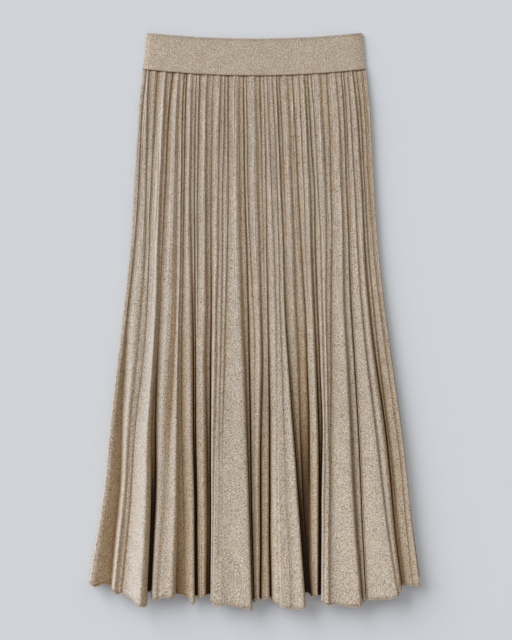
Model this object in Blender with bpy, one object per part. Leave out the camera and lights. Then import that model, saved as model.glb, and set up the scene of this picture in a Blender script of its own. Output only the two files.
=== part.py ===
"""A pleated knit maxi skirt laid flat on its back: two pleated panels and the two halves of its waistband.

Metres, +X across the skirt, +Y from the hem to the waist, +Z up off the surface it lies on.
Every panel is a wall of cloth: a section across the pleats is worked out at each of a few
distances down the skirt, and the wall runs through those sections.
"""

from collections import namedtuple

import bpy
import numpy as np

# Cloth. MITRE is the most that a corner of the wall reaches out, in wall thicknesses.
WALL = 0.0012
BAND_WALL = 0.0032
SEAM_GAP = 0.0003
MITRE = 1.3

# Waistband, front half measured flat
BAND_HEIGHT = 0.0598
BAND_HALF_TOP = 0.1731
BAND_HALF_SEAM = 0.1786
BAND_TOP_RISE = 0.0094
BAND_THICKNESS = 0.0086
BAND_SIDE_SEAM = 0.0042
BAND_SIDE_CURVE = 0.0065
BAND_EDGE_ROUND = 0.0014
BAND_CORNER_TURNS = (0, 22, 45, 67, 90)
BAND_BACK_CORNER = 0.45
BAND_ACROSS = 9

# Skirt below the band, measured down its middle
SKIRT_LENGTH = 0.836
SEAM_RISE = 0.0104
HEM_RISE = 0.027

# How the skirt widens and its pleats stand up on the way down.
# share: distance down, 0 under the band and 1 at the hem. back: height that the back panel takes.
# pleat: height of the front pleats above their valleys.
Level = namedtuple("Level", "share half_width back pleat")
LEVELS = [
    Level(0.00, 0.1789, 0.0034, 0.0032),
    Level(0.05, 0.1835, 0.0036, 0.0054),
    Level(0.20, 0.1915, 0.0038, 0.0070),
    Level(0.37, 0.2010, 0.0042, 0.0092),
    Level(0.52, 0.2170, 0.0048, 0.0125),
    Level(0.70, 0.2345, 0.0056, 0.0165),
    Level(0.85, 0.2485, 0.0064, 0.0198),
    Level(1.00, 0.2655, 0.0070, 0.0225),
]

# The fourteen valleys of the front. Each holds a narrow rib between two creases.
# band, hip, knee, calf, hem: the valley's middle at those places, as a share of the half width.
# rib_band, rib_knee, rib_hem: width of its rib. depth: how deep it is at the hem, of the pleat height.
# rib: how high its rib stands at the hem.
VALLEY_PLACES = (0.05, 0.32, 0.55, 0.78, 0.985)
RIB_PLACES = (0.05, 0.55, 1.0)
Valley = namedtuple("Valley", "band hip knee calf hem rib_band rib_knee rib_hem depth rib")
VALLEYS = [
    Valley(-0.875, -0.868, -0.835, -0.855, -0.848, 0.030, 0.050, 0.095, 0.80, 0.62),
    Valley(-0.752, -0.750, -0.715, -0.670, -0.637, 0.035, 0.045, 0.020, 1.00, 0.05),
    Valley(-0.622, -0.605, -0.565, -0.490, -0.435, 0.042, 0.030, 0.020, 0.25, 0.80),
    Valley(-0.495, -0.508, -0.450, -0.390, -0.357, 0.030, 0.026, 0.020, 1.00, 0.05),
    Valley(-0.395, -0.372, -0.335, -0.307, -0.278, 0.045, 0.048, 0.022, 1.00, 0.05),
    Valley(-0.270, -0.235, -0.225, -0.220, -0.210, 0.040, 0.030, 0.020, 0.12, 0.92),
    Valley(-0.088, -0.080, -0.055, -0.030, -0.015, 0.035, 0.030, 0.020, 1.00, 0.05),
    Valley(0.060, 0.070, 0.080, 0.070, 0.067, 0.030, 0.055, 0.057, 1.00, 0.72),
    Valley(0.217, 0.227, 0.255, 0.282, 0.294, 0.035, 0.026, 0.024, 1.00, 0.05),
    Valley(0.355, 0.360, 0.350, 0.340, 0.339, 0.035, 0.050, 0.022, 0.75, 0.32),
    Valley(0.480, 0.488, 0.472, 0.440, 0.407, 0.032, 0.034, 0.020, 1.00, 0.05),
    Valley(0.620, 0.617, 0.577, 0.507, 0.472, 0.038, 0.026, 0.020, 0.20, 0.84),
    Valley(0.783, 0.760, 0.708, 0.675, 0.655, 0.036, 0.055, 0.040, 0.95, 0.66),
    Valley(0.895, 0.885, 0.862, 0.865, 0.868, 0.032, 0.065, 0.040, 1.00, 0.50),
]
VALLEY_FLOOR = 0.0010
VALLEY_DROP = 0.5
DEPTH_AT_BAND = 0.80
RIB_AT_BAND = 0.62
RIB_LEAST = 0.0004
SPREAD_START = 0.35

# The fifteen pleat faces between them, from -X to +X.
# height: at the hem, of the pleat height. lean: where the crest lies, -1 at the left and 1 at the right.
# drop_left, drop_right: how far below the hem's curve its two corners hang.
Face = namedtuple("Face", "height lean drop_left drop_right")
FACES = [
    Face(0.80, -0.70, 0.000, 0.003),
    Face(1.00, 0.45, 0.008, 0.023),
    Face(0.95, -0.10, 0.008, 0.003),
    Face(0.92, 0.20, 0.004, 0.013),
    Face(0.78, 0.00, 0.000, 0.000),
    Face(0.95, 0.00, 0.005, 0.009),
    Face(1.00, 0.10, 0.010, 0.014),
    Face(0.72, 0.00, 0.005, 0.004),
    Face(1.05, 0.10, 0.003, 0.017),
    Face(0.42, 0.00, 0.002, 0.000),
    Face(0.80, 0.10, 0.000, 0.000),
    Face(0.93, 0.00, 0.009, 0.013),
    Face(1.02, 0.15, 0.015, 0.023),
    Face(1.00, 0.00, 0.013, 0.015),
    Face(0.85, 0.50, 0.002, 0.000),
]
FACE_POINTS = (-0.88, -0.5, 0.0, 0.5, 0.88)
RIB_POINTS = (-0.5, 0.5)
FLATNESS = 4.0
RIB_FLATNESS = 2.4
CREST_SHIFT = 0.3
LEAN_SOFTENS = 2.6

# The two points where the front turns down to a side seam, as shares of the way to the next point.
SIDE_UP = 0.55
SIDE_OVER = (0.22, 0.88)

# The back's pleats are pressed flat by the skirt's own weight, so each valley is a low groove.
# BACK_GROOVE is half a groove's width, and GROOVE_SHAPE gives places across it and shares of its height.
BACK_VALLEYS = 14
BACK_GROOVE = 0.0045
GROOVE_SHAPE = ((-1, 0), (-0.6, 1), (-0.25, 0.35), (0.25, 0.35), (0.6, 1), (1, 0))
BACK_SWAY = 0.022
SWAY_STEP = 2.3
SWAY_TURN = 2.5
BACK_DROP = 0.003
DROP_STEP = 1.7
BACK_SHORTER = 0.006
BACK_CORNER = 0.35

FRONT_ROWS = (0, 0.03, 0.09, 0.17, 0.26, 0.35, 0.44, 0.53, 0.62, 0.71, 0.79, 0.87, 0.94, 1)
BACK_ROWS = (0, 0.07, 0.18, 0.30, 0.42, 0.54, 0.66, 0.78, 0.90, 1)
BAND_ROWS = (0.0, 0.012, 0.3, 0.62, 0.90, 0.972, 1.0)


def smooth(at, places, values):
    """The value at a place on a smooth curve through the given ones: a cubic in each stretch."""
    places = np.asarray(places, float)
    values = np.asarray(values, float)
    slopes = np.gradient(values, places)
    k = int(np.clip(np.searchsorted(places, at) - 1, 0, len(places) - 2))
    step = places[k + 1] - places[k]
    w = (at - places[k]) / step
    if w < 0 or w > 1:
        end = k if w < 0 else k + 1
        return values[end] + slopes[end] * (at - places[end])
    start = values[k] * (1 + 2 * w) * (1 - w) ** 2 + values[k + 1] * w * w * (3 - 2 * w)
    return start + step * (slopes[k] * w * (1 - w) ** 2 - slopes[k + 1] * w * w * (1 - w))


def level(share):
    """Half width, back height and pleat height at this share of the way down."""
    shares = [row.share for row in LEVELS]
    columns = ([row[k] for row in LEVELS] for k in (1, 2, 3))
    return Level(share, *(smooth(share, shares, column) for column in columns))


def ease(value, start, end):
    """0 before start and 1 after end, with a smooth rise between them."""
    w = min(max((value - start) / (end - start), 0.0), 1.0)
    return w * w * (3 - 2 * w)


def mix(first, second, share):
    return first + (second - first) * share


def length_place(x, share, half_width, drop):
    """Y of a point of a panel: the seam and the hem are shallow arcs that rise to the sides."""
    across = (x / half_width) ** 2
    top = SEAM_RISE * across - SEAM_GAP
    hem = -SKIRT_LENGTH + HEM_RISE * across - drop
    return mix(top, hem, share)


def face_points(left, right, base_left, base_right, crest, lean, flatness, places):
    """Points over one pleat or rib, between its two creases, without the creases themselves."""
    middle = mix(left, right, 0.5 + CREST_SHIFT * lean)
    points = []
    for q in places:
        far = (left if q < 0 else right) - middle
        long_side = q * lean < 0
        power = flatness - LEAN_SOFTENS * abs(lean) if long_side else flatness
        base = mix(base_left, base_right, (q + 1) / 2)
        points.append((middle + abs(q) * far, mix(base, crest, 1 - abs(q) ** power)))
    return points


def front_section(share):
    """(x, z, drop) of the upper side of the front panel, from the left side seam to the right one."""
    here = level(share)
    half = here.half_width
    floor = here.back + SEAM_GAP + MITRE * WALL
    seam = here.back / 2 + SEAM_GAP / 2
    spread = ease(share, SPREAD_START, 1.0)
    edges = []
    ribs = []
    for row in VALLEYS:
        middle = half * smooth(share, VALLEY_PLACES, row[0:5])
        width = half * smooth(share, RIB_PLACES, row[5:8])
        depth = mix(DEPTH_AT_BAND, row.depth, spread)
        ground = floor + here.pleat * (1 - depth)
        top = floor + here.pleat * mix(RIB_AT_BAND, row.rib, spread)
        edges.append((middle - width / 2, middle + width / 2, ground))
        ribs.append(max(top, ground + RIB_LEAST))
    points = []
    for k, face in enumerate(FACES):
        first, last = k == 0, k == len(FACES) - 1
        left = -half if first else edges[k - 1][1] + VALLEY_FLOOR / 2
        right = half if last else edges[k][0] - VALLEY_FLOOR / 2
        base_left = seam if first else edges[k - 1][2]
        base_right = seam if last else edges[k][2]
        crest = floor + here.pleat * mix(1.0, face.height, spread)
        over = face_points(left, right, base_left, base_right, crest, face.lean, FLATNESS, FACE_POINTS)
        if first:
            over[0:1] = side_points(left, over[1], seam)
        if last:
            over[-1:] = side_points(right, over[-2], seam)[::-1]
        along = [(left, base_left), *over, (right, base_right)]
        for x, z in along:
            points.append((x, z, mix(face.drop_left, face.drop_right, (x - left) / (right - left))))
        if not last:
            crease_left, crease_right, ground = edges[k]
            drop = VALLEY_DROP * (face.drop_right + FACES[k + 1].drop_left) / 2
            rib_left = crease_left + VALLEY_FLOOR / 2
            rib_right = crease_right - VALLEY_FLOOR / 2
            rib = face_points(rib_left, rib_right, ground, ground, ribs[k], 0, RIB_FLATNESS, RIB_POINTS)
            for x, z in [(rib_left, ground), *rib, (rib_right, ground)]:
                points.append((x, z, drop))
    return points


def side_points(edge, inner, seam):
    """The two points where the cloth turns down to the side seam: straight up it, then over."""
    x, z = inner
    return [(edge, mix(seam, z, SIDE_UP)), (mix(edge, x, SIDE_OVER[0]), mix(seam, z, SIDE_OVER[1]))]


def back_section(share):
    """(x, z, drop) of the underside of the back panel: flat faces at z = 0 and low grooves."""
    here = level(share)
    half = here.half_width
    groove = here.back - MITRE * WALL
    side = here.back / 2 - SEAM_GAP / 2
    foot = half - BACK_CORNER * side
    points = [(-half, side, -BACK_SHORTER), (-foot, 0, -BACK_SHORTER)]
    for k in range(BACK_VALLEYS):
        even = (2 * k + 2) / (BACK_VALLEYS + 1) - 1
        middle = half * (even + BACK_SWAY * np.sin(SWAY_STEP * k + SWAY_TURN * share))
        drop = BACK_DROP * np.sin(DROP_STEP * k) ** 2 - BACK_SHORTER
        points += [(middle + across * BACK_GROOVE, high * groove, drop) for across, high in GROOVE_SHAPE]
    points += [(foot, 0, -BACK_SHORTER), (half, side, -BACK_SHORTER)]
    return points


def offset_across(section, distance):
    """The section moved sideways from itself, square to each stretch, and level at its two ends.
    A positive distance goes to the right of the direction of travel, which is down for a level run."""
    points = np.array([(x, z) for x, z, _ in section])
    run = np.diff(points, axis=0)
    run /= np.linalg.norm(run, axis=1)[:, None]
    square = np.column_stack([run[:, 1], -run[:, 0]])
    before = np.vstack([square[:1], square])
    after = np.vstack([square, square[-1:]])
    way = before + after
    way /= np.linalg.norm(way, axis=1)[:, None]
    stretch = np.minimum(1 / np.maximum((way * before).sum(axis=1), 1 / MITRE), MITRE)
    for end in (0, -1):
        way[end] = (np.sign(run[end, 1]), 0)
        stretch[end] = 1
    moved = points + distance * way * stretch[:, None]
    return [(x, z, old[2]) for (x, z), old in zip(moved, section)]


def placed(section, share, outer):
    """The section's points in space. Both sides of the wall take their y from the outer side's x."""
    half = level(share).half_width
    return [(x, length_place(o[0], share, half, o[2]), z) for (x, z, _), o in zip(section, outer)]


def wall_object(name, upper, lower, material):
    """One closed wall between two grids of points, whose rows run from the waist to the hem."""
    rows, columns = len(upper), len(upper[0])
    points = [p for grid in (upper, lower) for row in grid for p in row]

    def at(side, row, column):
        return (side * rows + row) * columns + column

    faces = []
    for r in range(rows - 1):
        for c in range(columns - 1):
            corners = ((r, c), (r + 1, c), (r + 1, c + 1), (r, c + 1))
            faces.append([at(0, *corner) for corner in corners])
            faces.append([at(1, *corner) for corner in corners[::-1]])
        faces.append([at(0, r, 0), at(1, r, 0), at(1, r + 1, 0), at(0, r + 1, 0)])
        last = columns - 1
        faces.append([at(0, r + 1, last), at(1, r + 1, last), at(1, r, last), at(0, r, last)])
    for c in range(columns - 1):
        faces.append([at(0, 0, c), at(0, 0, c + 1), at(1, 0, c + 1), at(1, 0, c)])
        last = rows - 1
        faces.append([at(0, last, c + 1), at(0, last, c), at(1, last, c), at(1, last, c + 1)])
    mesh = bpy.data.meshes.new(name)
    mesh.from_pydata(points, [], faces)
    mesh.materials.append(material)
    mesh.shade_smooth()
    mesh.set_sharp_from_angle(angle=np.radians(60))
    piece = bpy.data.objects.new(name, mesh)
    bpy.context.scene.collection.objects.link(piece)
    return piece


def knit_material(name, colour):
    """Marled knit with a metal thread: a rough cloth colour with a little metal in it."""
    material = bpy.data.materials.new(name)
    material.use_nodes = True
    finish = material.node_tree.nodes["Principled BSDF"]
    finish.inputs["Base Color"].default_value = (*colour, 1)
    finish.inputs["Roughness"].default_value = 0.62
    finish.inputs["Metallic"].default_value = 0.25
    return material


def front_panel(material):
    sections = [front_section(share) for share in FRONT_ROWS]
    inner = [offset_across(section, WALL) for section in sections]
    upper = [placed(s, share, s) for s, share in zip(sections, FRONT_ROWS)]
    lower = [placed(i, share, s) for i, s, share in zip(inner, sections, FRONT_ROWS)]
    return wall_object("front_panel", upper, lower, material)


def back_panel(material):
    sections = [back_section(share) for share in BACK_ROWS]
    inner = [offset_across(section, -WALL) for section in sections]
    lower = [placed(s, share, s) for s, share in zip(sections, BACK_ROWS)]
    upper = [placed(i, share, s) for i, s, share in zip(inner, sections, BACK_ROWS)]
    return wall_object("back_panel", upper, lower, material)


def band_front_section(half):
    """The front half of the band from side seam to side seam: up, over a soft corner, and across."""
    base = BAND_SIDE_SEAM + SEAM_GAP / 2
    rise = BAND_THICKNESS - base
    points = []
    for side in (-1, 1):
        corner = []
        for turn in BAND_CORNER_TURNS:
            x = half - BAND_SIDE_CURVE * (1 - np.cos(np.radians(turn)))
            corner.append((side * x, base + rise * np.sin(np.radians(turn)), 0))
        points += corner if side < 0 else corner[::-1]
    across = [(half * s, BAND_THICKNESS, 0) for s in np.linspace(-0.8, 0.8, BAND_ACROSS)]
    count = len(BAND_CORNER_TURNS)
    return points[:count] + across + points[count:]


def band_back_section(half):
    """The back half: flat underneath, turned up at both ends to meet the front half."""
    top = BAND_SIDE_SEAM - SEAM_GAP / 2
    foot = half - BAND_BACK_CORNER * top
    across = [(half * s, 0, 0) for s in np.linspace(-0.85, 0.85, BAND_ACROSS)]
    return [(-half, top, 0), (-foot, 0, 0), *across, (foot, 0, 0), (half, top, 0)]


def band_half(name, section_of, inward, material):
    """One half of the waistband: a thick folded band, rounded a little along its two long edges."""
    upper, lower = [], []
    for share in BAND_ROWS:
        half = mix(BAND_HALF_TOP, BAND_HALF_SEAM, share)
        edge = min(share, 1 - share) * BAND_HEIGHT
        inset = BAND_EDGE_ROUND * (1 - ease(edge, -BAND_EDGE_ROUND, BAND_EDGE_ROUND))
        section = section_of(half)
        outer = offset_across(section, inward * inset)
        inner = offset_across(section, inward * (BAND_WALL - inset))
        rows = []
        for side in (outer, inner):
            row = []
            for (x, z, _), (x0, _, _) in zip(side, section):
                across = (x0 / half) ** 2
                y_top = BAND_HEIGHT + BAND_TOP_RISE * across
                row.append((x, mix(y_top, SEAM_RISE * across, share), z))
            rows.append(row)
        upper.append(rows[0] if inward > 0 else rows[1])
        lower.append(rows[1] if inward > 0 else rows[0])
    return wall_object(name, upper, lower, material)


def centre_on_origin(pieces):
    """Carries all the pieces on an empty that puts the middle of their box over the origin."""
    corners = np.array([v.co for piece in pieces for v in piece.data.vertices])
    middle = (corners.min(axis=0) + corners.max(axis=0)) / 2
    skirt = bpy.data.objects.new("skirt", None)
    skirt.location = (-middle[0], -middle[1], 0)
    bpy.context.scene.collection.objects.link(skirt)
    for piece in pieces:
        piece.parent = skirt


def main():
    for old in list(bpy.data.objects):
        bpy.data.objects.remove(old)
    cloth = knit_material("pleated_knit", (0.46, 0.36, 0.25))
    band = knit_material("band_knit", (0.45, 0.36, 0.26))
    pieces = [
        front_panel(cloth),
        back_panel(cloth),
        band_half("waistband_front", band_front_section, 1, band),
        band_half("waistband_back", band_back_section, -1, band),
    ]
    centre_on_origin(pieces)


main()
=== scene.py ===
import math

import bpy
import numpy as np
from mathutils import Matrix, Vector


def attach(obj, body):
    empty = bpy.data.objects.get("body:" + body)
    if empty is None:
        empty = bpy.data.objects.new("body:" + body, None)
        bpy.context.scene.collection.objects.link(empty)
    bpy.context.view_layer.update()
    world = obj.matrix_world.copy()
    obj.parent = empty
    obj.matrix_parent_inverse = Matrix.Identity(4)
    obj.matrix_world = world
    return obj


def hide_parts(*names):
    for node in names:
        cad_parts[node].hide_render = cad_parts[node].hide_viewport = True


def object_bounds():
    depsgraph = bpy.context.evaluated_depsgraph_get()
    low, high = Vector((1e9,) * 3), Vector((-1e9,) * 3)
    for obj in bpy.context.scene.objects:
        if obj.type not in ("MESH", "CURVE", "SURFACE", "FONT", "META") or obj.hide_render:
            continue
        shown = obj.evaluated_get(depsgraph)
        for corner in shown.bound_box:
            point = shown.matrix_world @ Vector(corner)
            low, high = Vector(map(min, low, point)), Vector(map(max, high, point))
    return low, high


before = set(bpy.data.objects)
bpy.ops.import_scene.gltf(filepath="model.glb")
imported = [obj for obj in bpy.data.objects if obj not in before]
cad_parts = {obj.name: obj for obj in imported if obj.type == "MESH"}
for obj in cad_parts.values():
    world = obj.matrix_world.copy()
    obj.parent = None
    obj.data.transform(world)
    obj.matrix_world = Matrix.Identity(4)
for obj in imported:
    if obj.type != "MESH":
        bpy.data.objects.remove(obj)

# A pleated knit maxi skirt, laid flat on its back and seen from straight above.
# Metres, +X across the skirt, +Y from the hem to the waist, +Z up off the floor.
# Every panel is a grid: its rows run from the waist to the hem, its columns across the pleats.

cadLow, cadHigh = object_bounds()


# Camera, straight above the middle of the skirt

camera = {
    "height": 3.2,
    "viewHeight": 1.0285,  # what the long side of the picture takes in, on the floor
    "x": 0.0025,
    "y": -0.001,
    "sensor": 36.0, "clipEnd": 20.0,
}


def addCamera():
    lens = bpy.data.cameras.new("camera")
    lens.sensor_width = camera["sensor"]
    lens.lens = camera["sensor"] * camera["height"] / camera["viewHeight"]
    lens.clip_end = camera["clipEnd"]
    eye = bpy.data.objects.new("camera", lens)
    eye.location = (camera["x"], camera["y"], camera["height"])
    bpy.context.scene.collection.objects.link(eye)
    bpy.context.scene.camera = eye


# Floor and light

studio = {
    "floorColour": (0.712, 0.750, 0.808), "floorRoughness": 0.9, "floorSpecular": 0.1,
    "floorHalf": 6.0,
    "floorDrop": 0.0002,
    "skyColour": (1.0, 0.98, 0.96),
    "skyStrength": 0.225,
}

# softness: degrees that the lamp takes up in the sky. azimuth: from +X towards +Y.
lamps = {
    "window": {
        "strength": 3.07, "softness": 54, "elevation": 27, "azimuth": 143, "colour": (1.0, 0.995, 0.985),
    },
    "reflector": {
        "strength": 0.84, "softness": 120, "elevation": 52, "azimuth": -22, "colour": (1.0, 0.96, 0.91),
    },
}


def addStudio():
    scene = bpy.context.scene
    scene.view_settings.view_transform = "Standard"
    world = bpy.data.worlds.new("sky")
    world.use_nodes = True
    sky = world.node_tree.nodes["Background"]
    sky.inputs["Color"].default_value = (*studio["skyColour"], 1)
    sky.inputs["Strength"].default_value = studio["skyStrength"]
    scene.world = world
    for name, place in lamps.items():
        lamp = bpy.data.lights.new(name, "SUN")
        lamp.energy = place["strength"]
        lamp.angle = math.radians(place["softness"])
        lamp.color = place["colour"]
        sun = bpy.data.objects.new(name, lamp)
        sun.rotation_euler = (0, math.radians(90 - place["elevation"]), math.radians(place["azimuth"]))
        scene.collection.objects.link(sun)
    half = studio["floorHalf"]
    corners = [(-half, -half), (half, -half), (half, half), (-half, half)]
    mesh = bpy.data.meshes.new("floor")
    mesh.from_pydata([(x, y, -studio["floorDrop"]) for x, y in corners], [], [(0, 1, 2, 3)])
    floor = bpy.data.objects.new("floor", mesh)
    scene.collection.objects.link(floor)
    paint = bpy.data.materials.new("floor")
    paint.use_nodes = True
    finish = paint.node_tree.nodes["Principled BSDF"]
    finish.inputs["Base Color"].default_value = (*studio["floorColour"], 1)
    finish.inputs["Roughness"].default_value = studio["floorRoughness"]
    finish.inputs["Specular IOR Level"].default_value = studio["floorSpecular"]
    mesh.materials.append(paint)


# Shader groups

def newGroup(name, inputs, outputs):
    # inputs and outputs: the labels of each kind of socket
    group = bpy.data.node_groups.new(name, "ShaderNodeTree")
    for way, sockets in (("INPUT", inputs), ("OUTPUT", outputs)):
        for kind, labels in sockets.items():
            for label in labels:
                group.interface.new_socket(name=label, in_out=way, socket_type="NodeSocket" + kind)
    return group, group.nodes.new("NodeGroupInput").outputs, group.nodes.new("NodeGroupOutput").inputs


def feed(tree, socket, value):
    if isinstance(value, bpy.types.NodeSocket):
        tree.links.new(value, socket)
    else:
        socket.default_value = value


def calc(tree, operation, *values):
    node = tree.nodes.new("ShaderNodeMath")
    node.operation = operation
    for socket, value in zip(node.inputs, values):
        feed(tree, socket, value)
    return node.outputs[0]


def blendColour(tree, share, first, second, way="MIX"):
    node = tree.nodes.new("ShaderNodeMix")
    node.data_type = "RGBA"
    node.blend_type = way
    feed(tree, node.inputs["Factor"], share)
    feed(tree, node.inputs["A"], first)
    feed(tree, node.inputs["B"], second)
    return node.outputs["Result"]


def remap(tree, value, low, high, outLow=0.0, outHigh=1.0):
    node = tree.nodes.new("ShaderNodeMapRange")
    node.interpolation_type = "SMOOTHSTEP"
    for label, number in (("From Min", low), ("From Max", high), ("To Min", outLow), ("To Max", outHigh)):
        feed(tree, node.inputs[label], number)
    feed(tree, node.inputs["Value"], value)
    return node.outputs["Result"]


def split(tree, place):
    node = tree.nodes.new("ShaderNodeSeparateXYZ")
    feed(tree, node.inputs[0], place)
    return node.outputs


def join(tree, x, y, z=0.0):
    node = tree.nodes.new("ShaderNodeCombineXYZ")
    for socket, value in zip(node.inputs, (x, y, z)):
        feed(tree, socket, value)
    return node.outputs[0]


def noise(tree, place, scale, detail=2.0, roughness=0.5):
    node = tree.nodes.new("ShaderNodeTexNoise")
    feed(tree, node.inputs["Vector"], place)
    node.inputs["Scale"].default_value = scale
    node.inputs["Detail"].default_value = detail
    node.inputs["Roughness"].default_value = roughness
    return node.outputs["Fac"]


def bumpOver(tree, height, strength, distance, under=None):
    node = tree.nodes.new("ShaderNodeBump")
    node.inputs["Strength"].default_value = strength
    node.inputs["Distance"].default_value = distance
    tree.links.new(height, node.inputs["Height"])
    if under is not None:
        tree.links.new(under, node.inputs["Normal"])
    return node.outputs["Normal"]


def readShade(tree, name):
    node = tree.nodes.new("ShaderNodeAttribute")
    node.attribute_name = name
    return node.outputs["Fac"]


def useGroup(tree, group, values):
    node = tree.nodes.new("ShaderNodeGroup")
    node.node_tree = group
    for label, value in values.items():
        feed(tree, node.inputs[label], value)
    return node.outputs


stitchLook = {
    "slant": 1.3,  # how many rows a leg climbs for each column that it crosses
    "wave": 0.35, "mean": 0.65,  # of a leg's height, up the column
    "nextYarn": 37.0,  # where each stitch's second random shade is read
}


def stitchGroup():
    # One knit stitch is two slanted legs beside each other. Along is the column's place, up the row's.
    # Height = a leg's round back, times a wave up the column that starts later away from its middle.
    look = stitchLook
    group, given, made = newGroup(
        "KnitStitches", {"Vector": ("Yarn Place",), "Float": ("Wale", "Course")},
        {"Float": ("Height", "Yarn", "Next Yarn")},
    )
    place = split(group, given["Yarn Place"])
    along = calc(group, "DIVIDE", place["X"], given["Wale"])
    up = calc(group, "DIVIDE", place["Y"], given["Course"])
    fromMiddle = calc(group, "ABSOLUTE", calc(group, "SUBTRACT", calc(group, "FRACT", along), 0.5))
    leg = calc(group, "ABSOLUTE", calc(group, "SINE", calc(group, "MULTIPLY", fromMiddle, 2 * math.pi)))
    slanted = calc(group, "ADD", up, calc(group, "MULTIPLY", fromMiddle, look["slant"]))
    wave = calc(group, "COSINE", calc(group, "MULTIPLY", slanted, 2 * math.pi))
    back = calc(group, "MULTIPLY_ADD", wave, look["wave"], look["mean"])
    group.links.new(calc(group, "MULTIPLY", leg, back), made["Height"])
    column = calc(group, "FLOOR", calc(group, "MULTIPLY", along, 2.0))
    for label, shift in (("Yarn", 0.0), ("Next Yarn", look["nextYarn"])):
        white = group.nodes.new("ShaderNodeTexWhiteNoise")
        white.noise_dimensions = "3D"
        cell = join(group, column, calc(group, "FLOOR", slanted), shift)
        group.links.new(cell, white.inputs["Vector"])
        group.links.new(white.outputs["Value"], made[label])
    return group


ribLook = {
    "stretch": 0.05,  # how fast their noise changes down the cloth, beside across it
    "strayScale": 60.0, "stray": 2.4,  # how often they stray sideways, and how many ribs far
    "strongScale": 150.0, "strong": (0.38, 0.60),  # the noise at which a rib starts, and is full
    "fallFrom": 0.72,  # where the steep fall starts, across a rib
    "grooveShift": 0.58, "crestShift": 0.80,  # what moves each line to the middle of a rib
    "line": (0.03, 0.17),  # half a line's width, where it is full and where it ends
}


def ribGroup():
    # Narrow ribs down the cloth, strong under the band and gone at the knees. Across a rib, from 0 to 1, the
    # height rises slowly and falls steeply. A thin line in its groove is a painted shade and one on its crest
    # a painted highlight, both beside the fall. Noise strays the ribs sideways and makes some of them
    # stronger.
    look = ribLook
    group, given, made = newGroup(
        "NarrowRibs", {"Vector": ("Cloth",), "Float": ("Width", "Fade Start", "Fade End")},
        {"Float": ("Height", "Painted Groove Shade", "Painted Highlight")},
    )
    place = split(group, given["Cloth"])
    long = join(group, place["X"], calc(group, "MULTIPLY", place["Y"], look["stretch"]))
    stray = calc(group, "MULTIPLY", noise(group, long, look["strayScale"], 1.0), look["stray"])
    along = calc(group, "ADD", calc(group, "DIVIDE", place["X"], given["Width"]), stray)
    across = calc(group, "FRACT", along)
    rise = calc(group, "MULTIPLY", across, remap(group, across, look["fallFrom"], 1.0, 1.0, 0.0))
    fade = remap(group, place["Y"], given["Fade Start"], given["Fade End"], 1.0, 0.0)
    strong = remap(group, noise(group, long, look["strongScale"], 1.0), *look["strong"])
    strength = calc(group, "MULTIPLY", fade, strong)
    group.links.new(calc(group, "MULTIPLY", rise, strength), made["Height"])
    for label, shift in (("Painted Groove Shade", look["grooveShift"]), ("Painted Highlight", look["crestShift"])):
        turned = calc(group, "FRACT", calc(group, "ADD", along, shift))
        away = calc(group, "ABSOLUTE", calc(group, "SUBTRACT", turned, 0.5))
        line = remap(group, away, *look["line"], 1.0, 0.0)
        group.links.new(calc(group, "MULTIPLY", line, strength), made[label])
    return group


# Scales: per metre. Down: metres down the cloth where a value starts to change and where it has changed.
marlLook = {
    "grainScale": 450.0, "sparkScale": 520.0, "patchScale": 46.0, "streakScale": 420.0,
    "sparkPlace": (0.0, 0.0, 0.5),
    "streakStretch": 0.02,  # how fast the streaks change down the cloth, beside across it
    "stitchShare": 0.30,  # how much whole stitches count in the marl, and the grain for the rest
    "brown": (0.52, 0.34),  # the marl at which the brown yarn starts, and is full
    "sparkStitches": (0.25, 0.75), "sparks": (0.55, 0.66),  # the noise at which a glint starts, and is full
    "patchNoise": (0.3, 0.7), "patchShades": (0.95, 1.04),
    # where the painted shade above the knees fades out, and what is left of it below the knees
    "grainDown": (0.10, 0.80), "streaksDown": (0.30, 0.75), "topShadeDown": (0.50, 0.80),
    "streaksBelow": 0.12, "topShadeBelow": 0.97,
    # the painted shade's values between which each of its colours comes in
    "shadeFrom": (0.0, 0.5), "deepFrom": (0.4, 1.0), "deepestFrom": (0.80, 0.98),
    "deepestShade": (0.22, 0.17, 0.12, 1),
    "roughness": (0.66, 0.34),  # of the yarn, and of the thread where it glints
}


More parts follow.
